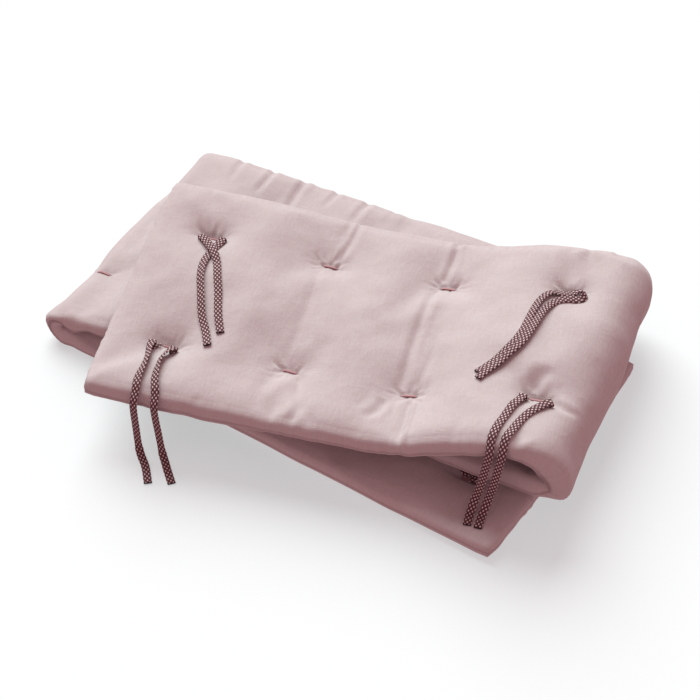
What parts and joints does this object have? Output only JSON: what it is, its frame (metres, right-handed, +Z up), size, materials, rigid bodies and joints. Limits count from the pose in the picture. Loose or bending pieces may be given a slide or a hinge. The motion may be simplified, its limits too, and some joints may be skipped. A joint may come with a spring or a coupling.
{
  "type": "crib bumper",
  "caption": "Long padded cotton cot bumper, tufted with small sewn tacks and folded back and forth like a fan, with flat dotted tape ties sewn on at the tacks.",
  "frame": {"origin": "on the surface it lies on, under the middle of the folded pad's box", "axes": "+X along the folded pad, with the puffed fold at +X; +Y towards its back; +Z up"},
  "size_m": [0.6043, 0.4345, 0.1178],
  "materials": {
    "pad_cotton": "dusty pink cotton in a fine plain weave, matt, softly creased round the tacks and along the seams",
    "tie_tape": "narrow flat tape of dark plum cotton with small pale pink dots in a diamond lattice, square-cut ends"
  },
  "bodies": {
    "root": {"pad": "pad_cotton", "tie_1_back_over": "tie_tape", "tie_1_back_under": "tie_tape", "tie_1_front_left": "tie_tape", "tie_1_front_right": "tie_tape", "tie_4_back_left": "tie_tape", "tie_4_back_right": "tie_tape", "tie_4_front_left": "tie_tape", "tie_4_front_right": "tie_tape", "tie_7_back_a": "tie_tape", "tie_7_back_b": "tie_tape", "tie_7_front_a": "tie_tape", "tie_7_front_b": "tie_tape", "tie_10_back_a": "tie_tape", "tie_10_back_b": "tie_tape", "tie_10_front_a": "tie_tape", "tie_10_front_b": "tie_tape", "tie_13_back_a": "tie_tape", "tie_13_back_b": "tie_tape", "tie_13_front_a": "tie_tape", "tie_13_front_b": "tie_tape"}
  },
  "joints": []
}
